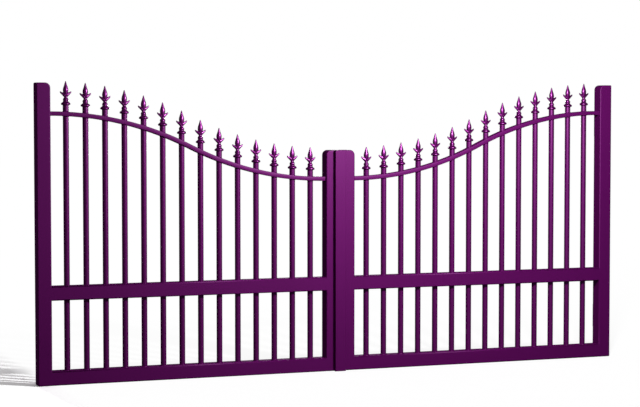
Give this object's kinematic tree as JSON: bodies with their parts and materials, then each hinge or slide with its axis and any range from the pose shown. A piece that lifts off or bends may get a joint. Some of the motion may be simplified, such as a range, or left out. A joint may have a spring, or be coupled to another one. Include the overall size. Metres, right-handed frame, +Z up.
{
  "type": "double swing gate",
  "caption": "Swing gate of paired leaves in welded square tube: sweeping top rail, round pickets with spearheads, a cover strip and lift-off hinges on bolted plates.",
  "frame": {"origin": "centre of the back face of the left lower hinge plate, where it lies on the pillar", "axes": "+X along the closed gate to the right, +Y back into the pillars, +Z up; the front of the gate faces -Y and its underside is 0.25 m below the origin"},
  "size_m": [3.64, 0.142, 1.7091],
  "materials": {
    "purple_paint": "satin purple powder coat on steel",
    "zinc_steel": "bright zinc plate"
  },
  "bodies": {
    "hinge_plates": {"left_lower_hinge_plate": "zinc_steel", "left_upper_hinge_plate": "zinc_steel", "right_lower_hinge_plate": "zinc_steel", "right_upper_hinge_plate": "zinc_steel"},
    "left_leaf": {"left_bottom_rail": "purple_paint", "left_hinge_stile": "purple_paint", "left_hinge_stile_cap": "purple_paint", "left_hinge_stile_foot": "purple_paint", "left_lower_hinge_eye": "purple_paint", "left_meeting_stile": "purple_paint", "left_meeting_stile_cap": "purple_paint", "left_meeting_stile_foot": "purple_paint", "left_middle_rail": "purple_paint", "left_pickets": "purple_paint", "left_spearheads": "purple_paint", "left_top_rail": "purple_paint", "left_upper_hinge_eye": "purple_paint"},
    "right_leaf": {"cover_strip": "purple_paint", "cover_strip_packer": "purple_paint", "right_bottom_rail": "purple_paint", "right_hinge_stile": "purple_paint", "right_hinge_stile_cap": "purple_paint", "right_hinge_stile_foot": "purple_paint", "right_lower_hinge_eye": "purple_paint", "right_meeting_stile": "purple_paint", "right_meeting_stile_cap": "purple_paint", "right_meeting_stile_foot": "purple_paint", "right_middle_rail": "purple_paint", "right_pickets": "purple_paint", "right_spearheads": "purple_paint", "right_top_rail": "purple_paint", "right_upper_hinge_eye": "purple_paint"}
  },
  "joints": [
    {"name": "right_leaf_hinge", "type": "hinge", "parent": "hinge_plates", "child": "right_leaf", "pos_m": [3.59, -0.022, 0], "axis": [0, 0, 1], "range_deg": [0, 90]},
    {"name": "left_leaf_hinge", "type": "hinge", "parent": "hinge_plates", "child": "left_leaf", "pos_m": [-0.018, -0.022, 0], "axis": [0, 0, -1], "range_deg": [0, 90]}
  ],
  "couplings": [
    {"joint": "left_leaf_hinge", "follows": "right_leaf_hinge", "ratio": 1}
  ]
}
